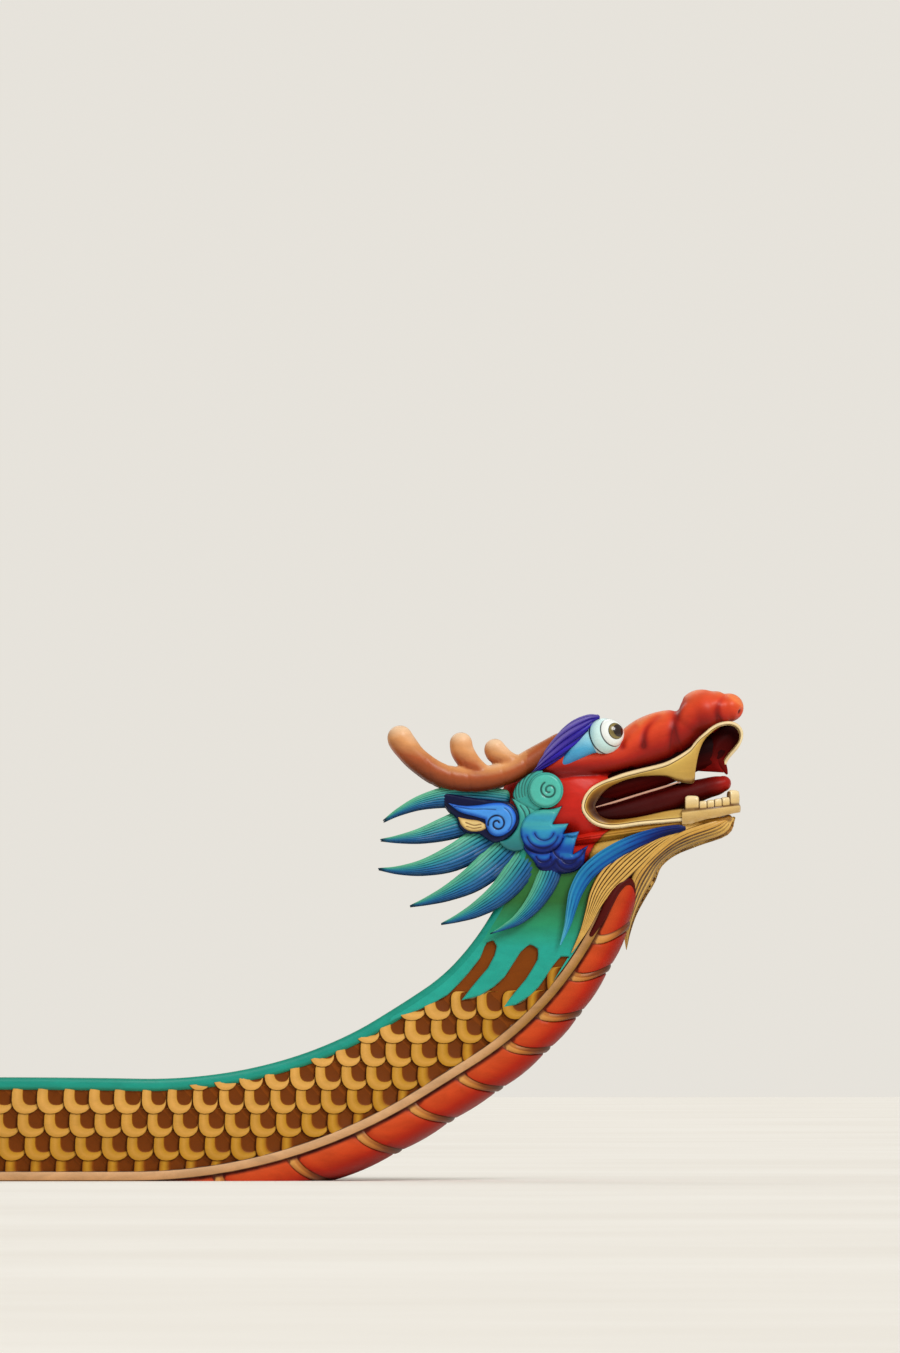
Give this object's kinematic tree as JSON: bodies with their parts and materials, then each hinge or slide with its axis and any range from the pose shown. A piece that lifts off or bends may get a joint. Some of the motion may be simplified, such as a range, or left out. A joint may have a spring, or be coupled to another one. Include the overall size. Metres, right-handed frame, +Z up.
{
  "type": "dragon boat",
  "caption": "Wooden paddled dragon boat, afloat: a long open hull with benches, whose bow bends up into a carved dragon's neck and head and whose stern ends in its tail.",
  "frame": {"origin": "amidships on the centreline, at the waterline", "axes": "+X towards the bow and the dragon's head, +Y to port, +Z up"},
  "size_m": [12.138, 1.204, 2.1097],
  "materials": {
    "antler_copper": "satin paint",
    "bare_wood": "oiled",
    "beard_gold": "satin gold paint",
    "belly_red": "gloss paint",
    "brow_violet": "satin paint",
    "cloud_blue": "satin paint",
    "curl_teal": "satin paint",
    "drum_red": "lacquer",
    "drum_skin": "matte hide",
    "eye_white": "gloss paint",
    "face_red": "gloss paint",
    "iron": "forged and blackened",
    "lip_gold": "satin gold paint",
    "mane_blue": "satin paint",
    "moulding_tan": "satin paint",
    "mouth_dark": "satin paint",
    "rail_teal": "satin paint",
    "scale_gold": "painted scales, satin",
    "strand_blue": "satin paint",
    "tongue_red": "gloss paint",
    "tooth_ivory": "satin paint"
  },
  "bodies": {
    "boat": {"aft_bulkhead": "bare_wood", "aft_deck": "rail_teal", "antler_port": "antler_copper", "antler_starboard": "antler_copper", "beard": "beard_gold", "bench_1": "bare_wood", "bench_2": "bare_wood", "bench_3": "bare_wood", "bench_4": "bare_wood", "bench_5": "bare_wood", "bench_6": "bare_wood", "bench_7": "bare_wood", "bench_8": "bare_wood", "bench_9": "bare_wood", "brow_port": "brow_violet", "brow_starboard": "brow_violet", "cheek_cloud_port": "cloud_blue", "cheek_cloud_starboard": "cloud_blue", "drum_barrel": "drum_red", "drum_bench": "bare_wood", "drum_head": "drum_skin", "drummer_seat": "bare_wood", "ear_port": "cloud_blue", "ear_starboard": "cloud_blue", "eye_port": "eye_white", "eye_starboard": "eye_white", "fore_bulkhead": "bare_wood", "fore_deck": "rail_teal", "head_core": "face_red", "hull_belly": "belly_red", "hull_side_port": "scale_gold", "hull_side_starboard": "scale_gold", "jaw_strand_port": "strand_blue", "jaw_strand_starboard": "strand_blue", "lip_band": "lip_gold", "lower_jaw": "beard_gold", "lower_teeth": "tooth_ivory", "mane_port": "mane_blue", "mane_starboard": "mane_blue", "moulding_port": "moulding_tan", "moulding_starboard": "moulding_tan", "neck_belly": "belly_red", "neck_side_port": "scale_gold", "neck_side_starboard": "scale_gold", "palate": "mouth_dark", "rail_port": "rail_teal", "rail_starboard": "rail_teal", "ribs_and_keelson": "bare_wood", "steering_arm": "bare_wood", "tail_belly": "belly_red", "tail_flames": "mane_blue", "tail_side_port": "scale_gold", "tail_side_starboard": "scale_gold", "tail_stem": "scale_gold", "temple_curl_port": "curl_teal", "temple_curl_starboard": "curl_teal", "tongue": "tongue_red"},
    "fork": {"oar_fork": "iron"},
    "oar": {"steering_oar": "bare_wood"}
  },
  "joints": [
    {"name": "fork_turn", "type": "hinge", "parent": "boat", "child": "fork", "pos_m": [-4.18, 0.56, 0.45], "axis": [0, 0, 1], "range_deg": [-40, 14]},
    {"name": "oar_lift", "type": "hinge", "parent": "fork", "child": "oar", "pos_m": [-4.18, 0.56, 0.512], "axis": [0, 1, 0], "range_deg": [0, 28]}
  ]
}
